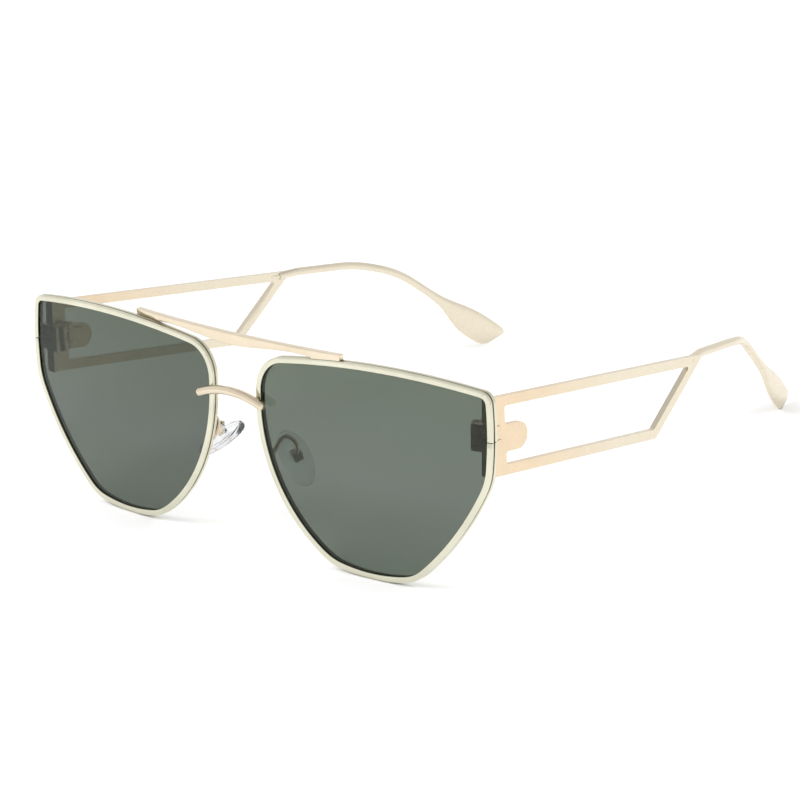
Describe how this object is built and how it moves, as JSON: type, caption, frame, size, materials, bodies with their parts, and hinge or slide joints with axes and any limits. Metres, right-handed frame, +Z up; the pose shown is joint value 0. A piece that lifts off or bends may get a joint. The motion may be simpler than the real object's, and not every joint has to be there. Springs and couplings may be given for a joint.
{
  "type": "folding sunglasses",
  "caption": "Metal sunglasses with flat-topped teardrop lenses, a straight brow bar, a round-wire bridge, open-frame folding temples and rocking nose pads.",
  "frame": {"origin": "centre of the footprint, on the surface the sunglasses stand on", "axes": "+Z up, +Y from the lenses towards the ear tips, +X towards the wearer's left"},
  "size_m": [0.1406, 0.146, 0.0488],
  "materials": {
    "gold_metal": "polished pale champagne plating",
    "green_lens": "smooth grey-green tint",
    "clear_pad": "clear, soft gloss",
    "steel_screw": "satin"
  },
  "bodies": {
    "front": {"rim_left": "gold_metal", "rim_right": "gold_metal", "lens_left": "green_lens", "lens_right": "green_lens", "brow_bar": "gold_metal", "bridge": "gold_metal", "lock_block_upper_left": "gold_metal", "lock_block_upper_right": "gold_metal", "lock_block_lower_left": "gold_metal", "lock_block_lower_right": "gold_metal", "lock_screw_left": "steel_screw", "lock_screw_right": "steel_screw", "hinge_screw_left": "steel_screw", "hinge_screw_right": "steel_screw", "pad_arm_left": "gold_metal", "pad_arm_right": "gold_metal", "pad_box_left": "gold_metal", "pad_box_right": "gold_metal", "pad_screw_left": "steel_screw", "pad_screw_right": "steel_screw"},
    "temple_body_left": {"temple_left": "gold_metal", "hinge_leaf_left": "gold_metal"},
    "temple_body_right": {"temple_right": "gold_metal", "hinge_leaf_right": "gold_metal"},
    "pad_body_left": {"nose_pad_left": "clear_pad", "pad_lug_left": "clear_pad"},
    "pad_body_right": {"nose_pad_right": "clear_pad", "pad_lug_right": "clear_pad"}
  },
  "joints": [
    {"name": "temple_left_hinge", "type": "hinge", "parent": "front", "child": "temple_body_left", "pos_m": [0.06495, -0.0611, 0.03558], "axis": [0, 0, 1], "range_deg": [0, 82]},
    {"name": "temple_right_hinge", "type": "hinge", "parent": "front", "child": "temple_body_right", "pos_m": [-0.06495, -0.0611, 0.03558], "axis": [0, 0, -1], "range_deg": [0, 76]},
    {"name": "pad_left_rock", "type": "hinge", "parent": "front", "child": "pad_body_left", "pos_m": [0.0098, -0.06288, 0.02048], "axis": [0.4831, 0.8076, 0.3382], "range_deg": [-12, 12]},
    {"name": "pad_right_rock", "type": "hinge", "parent": "front", "child": "pad_body_right", "pos_m": [-0.0118, -0.06538, 0.02368], "axis": [0.4831, -0.8076, -0.3382], "range_deg": [-3, 50]}
  ]
}
